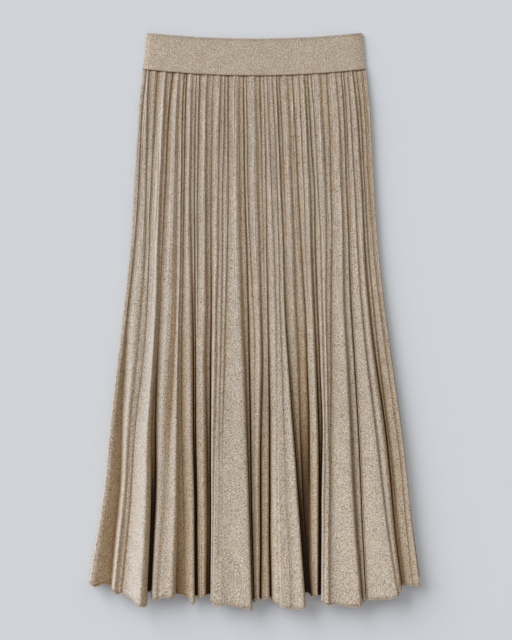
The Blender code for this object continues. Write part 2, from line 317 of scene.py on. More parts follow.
def marlGroup():
    # Two yarns twisted together: a beige one and a darker brown one, with a bright metal thread on top.
    # A painted highlight lays more of the thread's colour over them. Painted shade tints them toward the
    # Shade colour up to halfway down, then toward the Deep colour as well. Cloth is the place on the panel
    # laid open, and Yarn Place the same without the cloth that the folds hide. Tight is how light the cloth
    # is above the
    # knees: a painted shade where its ribs are drawn together and shadow each other.
    look = marlLook
    group, given, made = newGroup(
        "MarlYarn",
        {"Vector": ("Cloth", "Yarn Place"), "Color": ("Beige", "Brown", "Thread And Highlight", "Shade", "Deep"),
         "Float": ("Yarn", "Next Yarn", "Grain", "Streaks", "Tight", "Painted Shade", "Painted Highlight")},
        {"Color": ("Color",), "Float": ("Glint", "Roughness")},
    )
    place = split(group, given["Cloth"])
    across, down = place["X"], place["Y"]
    grain = noise(group, given["Yarn Place"], look["grainScale"], 1.5, 0.6)
    apart = group.nodes.new("ShaderNodeVectorMath")
    apart.operation = "ADD"
    group.links.new(given["Yarn Place"], apart.inputs[0])
    apart.inputs[1].default_value = look["sparkPlace"]
    sparks = noise(group, apart.outputs["Vector"], look["sparkScale"], 1.0)
    patches = noise(group, given["Yarn Place"], look["patchScale"])
    long = join(group, across, calc(group, "MULTIPLY", down, look["streakStretch"]))
    streaks = noise(group, long, look["streakScale"], 2.0, 0.6)
    mixed = calc(group, "ADD", calc(group, "MULTIPLY", given["Yarn"], look["stitchShare"]),
                 calc(group, "MULTIPLY", grain, 1 - look["stitchShare"]))
    strength = remap(group, down, *look["grainDown"], given["Grain"], 1.0)
    darker = calc(group, "MULTIPLY", remap(group, mixed, *look["brown"]), strength)
    colour = blendColour(group, darker, given["Beige"], given["Brown"])
    glint = calc(group, "MULTIPLY", remap(group, given["Next Yarn"], *look["sparkStitches"]),
                 remap(group, sparks, *look["sparks"]))
    glint = calc(group, "MULTIPLY", glint, strength)
    colour = blendColour(group, glint, colour, given["Thread And Highlight"])
    streaky = remap(group, down, *look["streaksDown"], given["Streaks"], look["streaksBelow"])
    shade = calc(group, "ADD", remap(group, patches, *look["patchNoise"], *look["patchShades"]),
                 calc(group, "MULTIPLY", streaky, calc(group, "SUBTRACT", streaks, 0.5)))
    # painted shade above the knees, where the ribs shadow each other
    tight = remap(group, down, *look["topShadeDown"], given["Tight"], look["topShadeBelow"])
    shade = calc(group, "MULTIPLY", shade, tight)
    colour = blendColour(group, 1.0, colour, join(group, shade, shade, shade), "MULTIPLY")
    # painted highlight: the thread's colour laid over the lit slopes and the ribs' crests
    colour = blendColour(group, given["Painted Highlight"], colour, given["Thread And Highlight"])
    # painted shade: toward the Shade colour, then the Deep one, then the deepest, as it grows
    tints = {"shadeFrom": given["Shade"], "deepFrom": given["Deep"], "deepestFrom": look["deepestShade"]}
    for name, tint in tints.items():
        share = remap(group, given["Painted Shade"], *look[name])
        colour = blendColour(group, share, colour, tint, "MULTIPLY")
    group.links.new(colour, made["Color"])
    group.links.new(glint, made["Glint"])
    group.links.new(remap(group, glint, 0.0, 1.0, *look["roughness"]), made["Roughness"])
    return group


def knitMaterial(name, stitches, ribs, marl, look):
    # The stitches and the ribs give the relief and the yarns' places, and the marl gives the colours. The
    # ribs' grooves take painted shade, as the creases do, and their crests a painted highlight.
    material = bpy.data.materials.new(name)
    material.use_nodes = True
    tree = material.node_tree
    places = {}
    for label, layer in (("Cloth", "cloth"), ("Yarn Place", "yarn")):
        node = tree.nodes.new("ShaderNodeUVMap")
        node.uv_map = layer
        places[label] = node.outputs["UV"]
    knit = useGroup(tree, stitches, {
        "Yarn Place": places["Yarn Place"], "Wale": look["wale"], "Course": look["course"],
    })
    rib = useGroup(tree, ribs, {
        "Cloth": places["Cloth"], "Width": look["ribWidth"],
        "Fade Start": look["ribFadeStart"], "Fade End": look["ribFadeEnd"],
    })
    # painted shade in the ribs' grooves, and a painted highlight on their crests
    grooves = calc(tree, "MULTIPLY", rib["Painted Groove Shade"], look["ribShade"])
    ribHighlights = calc(tree, "MULTIPLY", rib["Painted Highlight"], look["ribHighlight"])
    colours = {label: (*look[label.lower()], 1) for label in ("Beige", "Brown", "Thread And Highlight", "Shade", "Deep")}
    amounts = {label: look[label.lower()] for label in ("Grain", "Streaks", "Tight")}
    yarn = useGroup(tree, marl, {
        **places, **colours, **amounts,
        "Yarn": knit["Yarn"], "Next Yarn": knit["Next Yarn"],
        "Painted Shade": calc(tree, "MAXIMUM", readShade(tree, "paintedShade"), grooves),
        "Painted Highlight": calc(tree, "MAXIMUM", readShade(tree, "paintedHighlight"), ribHighlights),
    })
    ribbed = bumpOver(tree, rib["Height"], 1.0, look["ribHeight"])
    surface = {
        "Base Color": yarn["Color"], "Roughness": yarn["Roughness"],
        "Metallic": calc(tree, "MULTIPLY", yarn["Glint"], look["metal"]),
        "Normal": bumpOver(tree, knit["Height"], look["relief"], look["reliefHeight"], ribbed),
        "Sheen Weight": look["sheen"], "Sheen Roughness": look["sheenRoughness"],
        "Specular IOR Level": look["specular"],
    }
    for label, value in surface.items():
        feed(tree, tree.nodes["Principled BSDF"].inputs[label], value)
    return material


pleatKnit = {
    "wale": 0.0019, "course": 0.0016, "relief": 0.7, "reliefHeight": 0.0005,
    # thread: the metal thread's own colour, and also that of the painted highlight
    "beige": (0.645, 0.573, 0.483), "brown": (0.330, 0.195, 0.080), "thread and highlight": (0.97, 0.94, 0.91),
    # shade, deep: the colours that the painted shade tints the cloth toward
    "shade": (0.84, 0.70, 0.51), "deep": (0.32, 0.23, 0.14),
    # tight: how light the cloth is above the knees, a painted shade where its ribs shadow each other
    "grain": 1.0, "streaks": 0.42, "tight": 0.86, "metal": 0.20,
    "sheen": 0.05, "sheenRoughness": 0.5, "specular": 0.35,
    # how strong the painted shade in the ribs' grooves is, and the painted highlight on their crests
    "ribWidth": 0.0074, "ribFadeStart": 0.14, "ribFadeEnd": 0.55, "ribShade": 0.60, "ribHighlight": 0.55,
    "ribHeight": 0.0016,
}
bandKnit = {
    "wale": 0.0015, "course": 0.0013, "relief": 0.5, "reliefHeight": 0.0004,
    "beige": (0.545, 0.460, 0.366), "brown": (0.300, 0.200, 0.110), "thread and highlight": (0.92, 0.88, 0.82),
    # shade, deep: the colours of the painted shade on the waist stitches
    "shade": (0.90, 0.71, 0.45), "deep": (0.32, 0.23, 0.14),
    "grain": 0.85, "streaks": 0.06, "tight": 1.0, "metal": 0.25,
    "sheen": 0.05, "sheenRoughness": 0.5, "specular": 0.35,
    "ribWidth": 0.0015, "ribFadeStart": 0.0, "ribFadeEnd": 0.2, "ribShade": 0.0, "ribHighlight": 0.0,
    "ribHeight": 0.0,
}


# Curves and grids

def mix(first, second, share):
    return first + (second - first) * share


def ease(value, start, end):
    # 0 before start and 1 after end, with a smooth rise between them
    w = np.clip((np.asarray(value, float) - start) / (end - start), 0, 1)
    return w * w * (3 - 2 * w)


def smoothThrough(at, places, values):
    # A cubic in each stretch, through the given values; past the ends it runs straight on
    at, places, values = (np.asarray(a, float) for a in (at, places, values))
    slopes = np.gradient(values, places, axis=-1)
    k = np.clip(np.searchsorted(places, at) - 1, 0, len(places) - 2)
    step = places[k + 1] - places[k]
    w = np.clip((at - places[k]) / step, 0, 1)
    curve = values[..., k] * (1 + 2 * w) * (1 - w) ** 2 + values[..., k + 1] * w * w * (3 - 2 * w)
    curve = curve + step * (slopes[..., k] * w * (1 - w) ** 2 - slopes[..., k + 1] * w * w * (1 - w))
    curve = curve + slopes[..., :1] * np.minimum(at - places[0], 0)
    return curve + slopes[..., -1:] * np.maximum(at - places[-1], 0)


def ripple(x, y, seed):
    # Smooth random height from -1 to 1: random values on whole numbers, eased between them
    rng = np.random.default_rng(seed)
    values = rng.uniform(-1, 1, (64, 64))
    x, y = np.broadcast_arrays(np.asarray(x, float), np.asarray(y, float))
    i, j = np.floor(x).astype(int), np.floor(y).astype(int)
    a, b = ease(x - i, 0, 1), ease(y - j, 0, 1)
    low = mix(values[i % 64, j % 64], values[(i + 1) % 64, j % 64], a)
    high = mix(values[i % 64, (j + 1) % 64], values[(i + 1) % 64, (j + 1) % 64], a)
    return mix(low, high, b)


def layPlaces(mesh, cloth):
    # cloth: each vertex's place across and down the panel laid open, and its place across without the cloth
    # that the folds hide
    corners = np.empty(len(mesh.loops), np.int32)
    mesh.loops.foreach_get("vertex_index", corners)
    for name, columns in (("cloth", [0, 1]), ("yarn", [2, 1])):
        layer = mesh.uv_layers.new(name=name)
        layer.data.foreach_set("uv", cloth[:, columns][corners].astype(np.float32).ravel())


def layShades(mesh, shades):
    for name, values in shades.items():
        layer = mesh.attributes.new(name, "FLOAT", "POINT")
        layer.data.foreach_set("value", values.astype(np.float32).ravel())


def addPiece(name, points, faces, cloth, shades, material):
    # points and cloth: a row of 3 for each vertex. shades: a value of painted shade or painted highlight
    # for each, under the name that the material reads it by.
    mesh = bpy.data.meshes.new(name)
    mesh.from_pydata(points.tolist(), [], faces)
    layPlaces(mesh, cloth)
    layShades(mesh, shades)
    mesh.shade_smooth()
    mesh.materials.append(material)
    piece = bpy.data.objects.new(name, mesh)
    bpy.context.scene.collection.objects.link(piece)
    return piece


def gridPiece(name, points, cloth, material, wrap=False, shades=None):
    # points and cloth: rows x columns x 3. cloth is in metres, as layPlaces takes it. With wrap, the last
    # column joins the first one and the two ends are closed.
    rows, columns = points.shape[:2]
    index = np.arange(rows * columns).reshape(rows, columns)
    right = np.roll(index, -1, axis=1) if wrap else index[:, 1:]
    left = index if wrap else index[:, :-1]
    quads = np.stack([left[:-1], left[1:], right[1:], right[:-1]], axis=-1).reshape(-1, 4)
    faces = quads.tolist()
    if wrap:
        faces += [index[0].tolist(), index[-1, ::-1].tolist()]
    return addPiece(name, points.reshape(-1, 3), faces, cloth.reshape(-1, 3), shades or {}, material)


def thicken(piece, thickness, offset):
    solid = piece.modifiers.new("thickness", "SOLIDIFY")
    solid.thickness = thickness
    solid.offset = offset
    solid.use_rim = True


def finishPiece(piece, slotName, *nodes):
    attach(piece, "root")
    if nodes:
        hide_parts(*nodes)


# The skirt's cut, shared by every piece

skirt = {
    "bandHeight": 0.0598, "bandHalfTop": 0.1731, "bandHalfSeam": 0.1786, "bandTopRise": 0.0094,
    "bandThickness": 0.0086, "bandSideSeam": 0.0042,
    "length": 0.836, "seamRise": 0.0104, "hemRise": 0.027,
    "wall": 0.0009, "gap": 0.0003, "clear": 0.0016,
    "clothWidth": 0.91,  # of each panel, opened out
}
seamY = cadHigh.y - skirt["bandHeight"] - skirt["bandTopRise"]

# How the skirt widens and its pleats stand up on the way down, from under the band to the hem
levelPlaces = (0.00, 0.05, 0.20, 0.37, 0.52, 0.70, 0.85, 1.00)
halfWidths = (0.1789, 0.1835, 0.1915, 0.2008, 0.2152, 0.2342, 0.2474, 0.2655)
backHeights = (0.0034, 0.0036, 0.0038, 0.0042, 0.0048, 0.0056, 0.0064, 0.0070)
pleatHeights = (0.0032, 0.0054, 0.0070, 0.0092, 0.0125, 0.0165, 0.0198, 0.0225)

# How far both sides lie over to +X on the way down
swayPlaces = (0.00, 0.45, 0.58, 0.68, 0.81, 0.90, 1.00)
sways = (0.0, 0.0, 0.0008, 0.0018, 0.0030, 0.0014, 0.0002)


def swayed(x, down, half):
    # x moved over by the sway times the square of its share of the half width, so the middle keeps its place
    return x + smoothThrough(down, swayPlaces, sways) * (x / half) ** 2


def levelAt(down):
    # Half width, back height and pleat height at these shares of the way down
    return (smoothThrough(down, levelPlaces, row) for row in (halfWidths, backHeights, pleatHeights))


# The front's pleats from -X to +X: one row is a ridge and the crease at its right, where the next one starts.
# band, hip, knee, calf, hem: the crease's place at those distances down, as a share of the half width
# cutBand, cutKnee, cutHem: how deep the crease is there, as a share of the pleat height. Below 0 at the hem,
# it runs out above the hem.
# topBand, topHem: the ridge's height. lean: where it peaks at the hem, -1 left and 1 right
# left, right: how full its two sides are at the hem: 1 is a plane, 2 is round and 6 is boxy
# dropLeft, dropMiddle, dropRight: how far its edge hangs below the hem's curve, in millimetres
creasePlaces = (0.03, 0.28, 0.51, 0.74, 0.93)
cutPlaces = (0.05, 0.51, 0.95)
pleats = np.array([
    (-0.967, -0.956, -0.950, -0.905, -0.878, 0.60, 0.60, 0.72, 0.75, 0.92, -0.60, 12.0, 1.2, 1.0, 7.0, -2.5),
    (-0.931, -0.882, -0.858, -0.849, -0.836, 0.70, 0.28, 0.20, 0.90, 0.92, 0.25, 1.3, 1.6, 3.0, 5.0, 10.5),
    (-0.855, -0.849, -0.813, -0.822, -0.800, 0.80, 0.32, 0.36, 0.78, 0.76, -0.20, 1.6, 1.4, 10.5, 11.0, 9.0),
    (-0.773, -0.765, -0.735, -0.696, -0.656, 0.65, 0.60, 1.00, 1.05, 1.14, 0.50, 1.15, 2.2, 10.5, 23.5, 21.5),
    (-0.733, -0.740, -0.722, -0.672, -0.641, 0.90, 0.80, 1.00, 0.60, 0.12, 0.00, 2.0, 2.0, 2.0, 2.0, 2.0),
    (-0.657, -0.635, -0.592, -0.574, -0.566, 0.55, 0.45, 0.25, 1.00, 0.84, -0.20, 1.8, 1.4, 13.0, 11.0, 8.0),
    (-0.628, -0.598, -0.565, -0.514, -0.480, 0.80, 0.55, 0.78, 0.80, 0.88, 0.45, 1.4, 1.6, 8.0, 6.5, 1.5),
    (-0.602, -0.580, -0.548, -0.482, -0.436, 0.90, 0.75, 0.76, 0.65, 0.20, 0.00, 1.6, 1.6, 0.8, 0.6, 0.6),
    (-0.542, -0.519, -0.457, -0.410, -0.371, 0.55, 0.90, 1.00, 1.00, 0.64, 0.75, 1.0, 2.6, 1.5, 14.0, 10.0),
    (-0.511, -0.490, -0.445, -0.402, -0.365, 0.70, 0.90, 1.00, 0.75, 0.05, 0.00, 2.0, 2.0, 1.0, 1.0, 1.0),
    (-0.484, -0.468, -0.420, -0.372, -0.335, 0.80, 0.40, 0.42, 0.85, 0.31, 0.20, 2.5, 1.6, 1.8, 2.0, 2.0),
    (-0.415, -0.390, -0.359, -0.318, -0.294, 0.60, 0.75, 0.85, 1.00, 0.63, 0.00, 1.4, 1.4, 2.4, 1.2, -0.5),
    (-0.364, -0.355, -0.322, -0.294, -0.274, 0.70, 0.95, 1.00, 0.60, 0.15, 0.00, 2.0, 2.0, -2.5, -3.0, -3.0),
    (-0.288, -0.293, -0.277, -0.262, -0.252, 0.60, 0.30, -0.05, 1.00, 0.92, -0.50, 1.8, 1.4, 1.0, 7.5, 8.5),
    (-0.260, -0.257, -0.243, -0.235, -0.230, 0.70, 0.33, -0.03, 0.80, 0.84, -0.20, 2.0, 1.6, 9.0, 9.4, 9.7),
    (-0.236, -0.212, -0.216, -0.212, -0.206, 0.80, 0.42, 0.00, 0.75, 0.78, -0.20, 2.0, 1.6, 10.4, 10.8, 10.8),
    (-0.125, -0.106, -0.073, -0.042, -0.022, 0.55, 0.70, 0.90, 1.00, 1.00, 0.85, 1.3, 8.0, 11.0, 13.5, 16.0),
    (-0.097, -0.072, -0.038, -0.021, -0.012, 0.90, 0.90, 1.00, 0.65, 0.25, 0.00, 2.0, 2.0, 5.0, 5.0, 5.0),
    (-0.068, -0.040, 0.010, 0.000, 0.006, 0.65, 0.45, 0.54, 0.80, 0.50, 0.00, 2.0, 1.6, 5.0, 4.0, 4.0),
    (0.023, 0.048, 0.057, 0.039, 0.036, 0.55, 0.75, 0.95, 1.00, 0.66, 0.00, 1.6, 2.5, 4.0, 3.0, 2.0),
    (0.050, 0.077, 0.082, 0.066, 0.064, 0.80, 0.45, 0.56, 0.65, 0.40, 0.30, 1.1, 1.6, 1.0, 0.5, 0.0),
    (0.084, 0.099, 0.106, 0.099, 0.096, 0.60, 0.80, 1.00, 0.75, 0.52, 0.00, 1.6, 2.5, -0.3, -0.7, -1.0),
    (0.118, 0.155, 0.178, 0.165, 0.165, 0.50, 0.20, -0.05, 0.95, 0.86, 0.40, 1.2, 1.5, 4.5, 9.5, 13.0),
    (0.168, 0.195, 0.200, 0.210, 0.215, 0.60, 0.25, 0.00, 0.85, 0.95, 0.30, 1.5, 1.5, 13.5, 14.7, 15.7),
    (0.200, 0.232, 0.241, 0.281, 0.300, 0.80, 0.80, 1.00, 0.90, 1.05, 0.80, 1.3, 6.0, 16.3, 18.8, 16.0),
    (0.226, 0.261, 0.268, 0.296, 0.314, 0.80, 0.50, 1.00, 0.60, 0.12, 0.00, 2.0, 2.0, -4.0, -5.0, -5.0),
    (0.304, 0.326, 0.328, 0.316, 0.318, 0.55, 0.75, 0.96, 1.00, 0.14, 0.00, 1.5, 2.0, -2.7, -2.5, -2.2),
    (0.340, 0.372, 0.393, 0.366, 0.346, 0.80, 0.88, 0.80, 0.62, 0.12, 0.00, 2.0, 2.0, 0.8, 1.0, 1.0),
    (0.402, 0.418, 0.414, 0.395, 0.372, 0.50, 0.30, 0.50, 0.85, 0.46, 0.50, 1.1, 1.6, 0.4, 0.1, 0.0),
    (0.452, 0.468, 0.457, 0.437, 0.398, 0.65, 0.85, 1.00, 1.00, 0.72, 0.00, 1.6, 2.2, -0.7, -0.3, 1.0),
    (0.480, 0.497, 0.486, 0.452, 0.410, 0.80, 0.85, 1.00, 0.75, 0.06, 0.00, 2.0, 2.0, 1.5, 1.5, 1.5),
    (0.508, 0.540, 0.520, 0.480, 0.440, 0.55, 0.28, 0.00, 0.85, 0.92, -0.30, 4.0, 1.4, 6.5, 9.6, 11.4),
    (0.593, 0.595, 0.545, 0.497, 0.458, 0.60, 0.30, 0.00, 1.00, 0.84, -0.20, 1.6, 1.4, 12.5, 12.8, 13.1),
    (0.646, 0.640, 0.571, 0.508, 0.468, 0.75, 0.58, 0.28, 0.75, 0.78, 0.00, 1.6, 1.6, 14.0, 14.0, 14.0),
    (0.737, 0.731, 0.689, 0.653, 0.651, 0.50, 0.55, 0.64, 1.00, 1.02, 0.85, 1.2, 5.5, 15.0, 24.0, 22.0),
    (0.775, 0.769, 0.737, 0.702, 0.682, 0.75, 0.80, 0.80, 0.85, 0.66, 0.60, 1.2, 3.0, 17.0, 17.0, 16.0),
    (0.798, 0.793, 0.752, 0.714, 0.690, 0.80, 0.45, 0.36, 0.62, 0.68, 0.00, 1.8, 1.8, 13.6, 13.6, 13.6),
    (0.830, 0.838, 0.831, 0.833, 0.856, 0.50, 0.42, 0.08, 0.85, 1.00, 0.85, 1.3, 5.5, 15.0, 16.6, 16.7),
    (0.883, 0.898, 0.880, 0.893, 0.888, 0.80, 0.85, 0.80, 0.95, 0.90, -0.20, 1.6, 3.0, 15.3, 13.0, 11.0),
    (0.916, 0.918, 0.911, 0.908, 0.903, 0.80, 0.75, 0.72, 0.70, 0.30, 0.00, 2.0, 2.0, 3.0, 3.0, 3.0),
    (0.958, 0.951, 0.955, 0.958, 0.950, 0.65, 0.41, 0.48, 0.64, 0.52, 0.30, 1.3, 1.6, 2.5, 2.8, 3.5),
    (1.000, 1.000, 1.000, 1.000, 1.000, 0.00, 0.00, 0.00, 0.54, 0.51, 0.30, 1.6, 12.0, 4.0, 5.0, 8.0),
])

frontPanel = {
    "rows": 104,
    "columnWidth": 0.0018,  # of a ridge, at the hem
    "fewestColumns": 8, "mostColumns": 40,
    "creaseFloor": (0.0006, 0.0012),  # width of a crease's floor, under the band and at the hem
    "shallowFloor": 0.25,  # of that width, where the crease is shallow
    # what is left of each crease's depth, at these places on the way down
    "cutShares": ((0.05, 0.30, 0.48, 0.62, 1.00), (0.90, 0.86, 0.92, 1.00, 1.00)),
    "leastRidge": 0.0024,
    "spread": (0.2, 0.9),  # from where to where down the panel a ridge turns into its shape at the hem
    "fullnessAtBand": (0.75, 1.5), "leanAtBand": (0.5, 0.45), "roundness": 0.9,
    "crestShift": 0.4,
    "tuck": 0.0032,  # how far a deep crease runs in under its ridge, at the hem
    "mostTuck": 0.28,  # as a share of the ridge's width
    "tuckFull": 2.0,  # the fullness from which a side tucks in all the way; a plane one doesn't
    "bulge": 0.65,  # the share of its tuck by which a side leans out first
    "lobeEnd": 0.82,  # past this share of a ridge's side, its edge turns up to the crease
    "lobeTurn": 1.5,
    "wander": 0.0010,  # how far a crease strays sideways
    "unevenHeight": 0.06,
    "dents": 0.0007, "dentsDown": (0.02, 0.5), "dentLift": 0.003, "dentWaves": (14, 8), "dentSeed": 21,
    # how far the edge strays, in millimetres, and how often
    "hemBumps": ((1.6, 26), (0.9, 80)), "bumpSeed": 51,
    "deepDrop": 0.5,  # how far the edge hangs in a deep crease, in millimetres
    "tuckUnder": 0.0035, "underDrop": 0.0004,  # what goes up under the band, and how much lower it lies
    "seamShade": 0.0026,  # how far down the painted shadow under the band's edge reaches
    # how much painted shade that shadow adds on the first row
    "seamShadow": 0.65,
}

# The painted shade and painted highlight that the front's cloth takes: how much, and between which
# heights or slopes each comes in.
# Heights are shares of the pleat height.
frontShades = {
    # painted shade down in the creases, by height: a dark share and a light one
    "creases": ((0.78, 0.0, 0.45), (0.27, 0.3, 1.0)),
    "away": (0.36, 0.02, 0.45),  # painted shade on slopes that fall to the right, away from the window
    "openSide": 0.02,  # share of the half width where these two fade out to a side seam
    "paintedHighlight": (0.34, 0.10, 0.42),  # painted highlight on slopes that rise from the left, and so face the window
    "highlightHeights": (0.50, 0.90),
    "highlightRight": (0.15, -1, 0.2),  # what is left of it at the right, and where it fades to that
}

# Each unevenness has its own noise: waves down the panel, step from one pleat to the next, seed
unevenness = {
    "wander": (9, 3.7, 5), "height": (5, 5.3, 11), "lean": (0, 2.3, 17),
    "groove": (8, 4.1, 31), "grooveHeight": (7, 2.9, 37),
}


def uneven(name, down, k):
    waves, step, seed = unevenness[name]
    return ripple(down * waves, k * step, seed)


def downTo(count, tight=0.35):
    # Shares of the way down, closer together at both ends
    w = np.linspace(0, 1, count)
    return w - tight * np.sin(2 * math.pi * w) / (2 * math.pi)


def ridge(left, right, baseLeft, baseRight, crest, lean, fullLeft, fullRight, tuckLeft, tuckRight, q):
    # Across one ridge, q runs from -1 to 1. Rise = (1 - |q| ^ fullness) ^ roundness, from its creases to its
    # crest, and below the crest each side draws in by its tuck times ((1 - rise) squared - bulge * |q|).
    middle = mix(left, right, 0.5 + frontPanel["crestShift"] * lean)
    far = np.where(q < 0, left - middle, right - middle)
    rise = (1 - np.abs(q) ** np.where(q < 0, fullLeft, fullRight)) ** frontPanel["roundness"]
    drawn = np.where(q < 0, tuckLeft, -tuckRight) * ((1 - rise) ** 2 - frontPanel["bulge"] * np.abs(q))
    return middle + np.abs(q) * far + drawn, mix(mix(baseLeft, baseRight, (q + 1) / 2), crest, rise)


def acrossRidge(count):
    # Places across a ridge, closer together near its two creases
    w = np.linspace(-1, 1, count)
    return np.sign(w) * (1 - (1 - np.abs(w)) ** 1.5)


def creaseEdge():
    # How far the edge hangs at each crease: between its two ridges where it is shallow, and short of both
    # where it is deep
    left, right, cut = pleats[1:, 13], pleats[:-1, 15], pleats[:-1, 7]
    short = np.minimum(np.minimum(left, right), frontPanel["deepDrop"])
    inner = mix((left + right) / 2, short, cut ** 2)
    return np.concatenate([pleats[:1, 13], inner, pleats[-1:, 15]])


def edgeDrop(row, creases, across, q):
    # How far a ridge's edge hangs, in metres: from its middle out to its two sides, then up to the creases
    # beside it, with small bumps. across: the place as a share of the half width.
    shape = frontPanel
    dropLeft, dropMiddle, dropRight = row[13:16]
    out = np.abs(q)
    drop = mix(dropMiddle, np.where(q < 0, dropLeft, dropRight), ease(out, 0, shape["lobeEnd"]))
    drop = mix(drop, np.where(q < 0, *creases), ease(out, shape["lobeEnd"], 1) ** shape["lobeTurn"])
    bumps = sum(size * ripple(across * often, 0, shape["bumpSeed"]) for size, often in shape["hemBumps"])
    return np.broadcast_to((drop + bumps) / 1000, across.shape)


def shadesOf(x, z, half, floor, height):
    # Painted shade = 1 - the light that is left down in a crease and where a ridge falls away to the right,
    # and 0 at the side seams. Painted highlight: where a tall ridge rises from the left, toward the window.
    # Both are 0 to 1, and the material paints them into the cloth's colour.
    shape = frontShades
    level = (z - floor) / height
    steps = np.gradient(x, axis=1), np.gradient(z, axis=1)
    slope = steps[1] / np.hypot(*steps)
    lit = 1 - sum(share * (1 - ease(level, low, high)) for share, low, high in shape["creases"])
    share, low, high = shape["away"]
    paintedShade = 1 - lit * (1 - share * ease(-slope, low, high))
    paintedShade = paintedShade * ease(1 - np.abs(x) / half, 0, shape["openSide"])
    share, low, high = shape["paintedHighlight"]
    paintedHighlight = share * ease(slope, low, high) * ease(level, *shape["highlightHeights"])
    left, start, end = shape["highlightRight"]
    return {"paintedShade": paintedShade, "paintedHighlight": paintedHighlight * mix(1, left, ease(x / half, start, end))}


def frontSection(down):
    # For each share of the way down, from the left side seam to the right one: x, z, how far the edge hangs
    # there and the painted shade and highlight. A ridge runs from the last crease's floor to its own
    # crease's.
    shape = frontPanel
    down = down[:, None]
    half, back, height = levelAt(down)
    floor = back + skirt["gap"] + skirt["clear"]
    seam = back / 2 + skirt["gap"] / 2
    spread = ease(down, *shape["spread"])
    wide = mix(*shape["creaseFloor"], spread) / 2
    pressed = smoothThrough(down, *shape["cutShares"])
    startLeft, startRight = shape["fullnessAtBand"]
    usual, differs = shape["leanAtBand"]
    creaseDrops = creaseEdge()
    left, baseLeft, cutLeft, parts = -half, seam, 0.0, []
    for k, row in enumerate(pleats):
        topBand, topHem, lean, fullLeft, fullRight = row[8:13]
        last = k == len(pleats) - 1
        wander = 0 if last else shape["wander"] * uneven("wander", down, k)
        cutRight = np.clip(smoothThrough(down, cutPlaces, row[5:8]) * pressed, 0, 1)
        gap = wide * mix(shape["shallowFloor"], 1, cutRight)
        right = half if last else half * smoothThrough(down, creasePlaces, row[0:5]) + wander - gap
        right = np.minimum(np.maximum(right, left + shape["leastRidge"]), half)
        baseRight = seam if last else floor + height * (1 - cutRight)
        taller = 1 + shape["unevenHeight"] * uneven("height", down, k)
        crest = floor + height * mix(topBand, topHem, spread) * taller
        crest = np.maximum(crest, mix(baseLeft, baseRight, 0.5))
        full = (mix(fullLeft if k == 0 else startLeft, fullLeft, spread),
                mix(fullRight if last else startRight, fullRight, spread))
        most = shape["mostTuck"] * (right - left)
        tucks = [np.minimum(shape["tuck"] * spread * cut * ease(side, 1, shape["tuckFull"]), most)
                 for cut, side in zip((cutLeft, cutRight), full)]
        count = round((right - left)[-1, 0] / shape["columnWidth"])
        q = acrossRidge(int(np.clip(count, shape["fewestColumns"], shape["mostColumns"])))
        tilt = mix(usual + differs * uneven("lean", down, k), lean, spread)
        x, z = ridge(left, right, baseLeft, baseRight, crest, tilt, *full, *tucks, q)
        parts.append((x, z, edgeDrop(row, creaseDrops[k:k + 2], x / half, q)))
        left, baseLeft, cutLeft = right + 2 * gap, baseRight, cutRight
    x, z, drop = (np.concatenate(part, axis=1) for part in zip(*parts))
    across, below = shape["dentWaves"]
    dents = ripple(x / half * across, down * below, shape["dentSeed"])
    dents = dents * ease(z, floor, floor + shape["dentLift"]) * ease(down, *shape["dentsDown"])
    z = z + shape["dents"] * dents
    return x, z, drop, shadesOf(x, z, half, floor, height)


def panelY(x, down, half, drop):
    # The seam and the hem are shallow arcs that rise to the sides
    across = (x / half) ** 2
    top = skirt["seamRise"] * across - skirt["gap"]
    hem = -skirt["length"] + skirt["hemRise"] * across - drop
    return seamY + mix(top, hem, down)


def clothPlace(x, z, down):
    # Across: the share of the distance along the folds, row by row, times the cloth's full width. Down: the
    # distance from the seam. Across without what is hidden: the distance along the folds from their middle.
    steps = np.hypot(np.diff(x, axis=1), np.diff(z, axis=1))
    along = np.concatenate([np.zeros((len(down), 1)), np.cumsum(steps, axis=1)], axis=1)
    across = along / along[:, -1:] * skirt["clothWidth"]
    below = np.broadcast_to(down[:, None] * skirt["length"], across.shape)
    return np.stack([across, below, along - along[:, -1:] / 2], axis=-1)


def addFrontPanel(material):
    shape = frontPanel
    down = np.insert(downTo(shape["rows"] - 2), 1, shape["seamShade"] / skirt["length"])
    x, z, drop, shades = frontSection(down)
    # painted shadow under the band's edge, on the first row
    shades["paintedShade"][0] = np.minimum(shades["paintedShade"][0] + shape["seamShadow"], 1)
    half = next(levelAt(down[:, None]))
    y = panelY(x, down[:, None], half, drop)
    x = swayed(x, down[:, None], half)
    points = np.stack([x, y, z], axis=-1)
    under = points[:1] + np.array([0, shape["tuckUnder"], 0])
    lowest = points[0, :, 2].min() + shape["underDrop"]
    under[..., 2] = np.minimum(under[..., 2], lowest) - shape["underDrop"]
    points = np.concatenate([under, points])
    cloth = clothPlace(x, z, down)
    cloth = np.concatenate([cloth[:1] - np.array([0, shape["tuckUnder"], 0]), cloth])
    shades = {name: np.concatenate([values[:1], values]) for name, values in shades.items()}
    piece = gridPiece("front_cloth", points, cloth, material, shades=shades)
    thicken(piece, skirt["wall"], -1)
    finishPiece(piece, "pleated_knit", "front_panel")
    addHemEdge("front_hem_edge", x[-1], y[-1], z[-1], 1, material)
    return piece


# The back, pressed flat by the skirt's own weight: each valley is a low groove

backPanel = {
    "rows": 90, "valleys": 14, "groove": 0.0045, "sway": 0.022, "swayStep": 2.3, "swayTurn": 2.5,
    "wander": 0.0012, "unevenHeight": 0.12, "drop": 0.003, "dropStep": 1.7, "shorter": 0.006,
    "corner": 0.35, "cornerPoints": 6, "faceColumns": 8,
    "grooveAcross": (-1.0, -0.8, -0.6, -0.42, -0.25, 0.0, 0.25, 0.42, 0.6, 0.8, 1.0),
    "grooveHeight": (0.0, 0.55, 1.0, 0.70, 0.35, 0.28, 0.35, 0.70, 1.0, 0.55, 0.0),
}


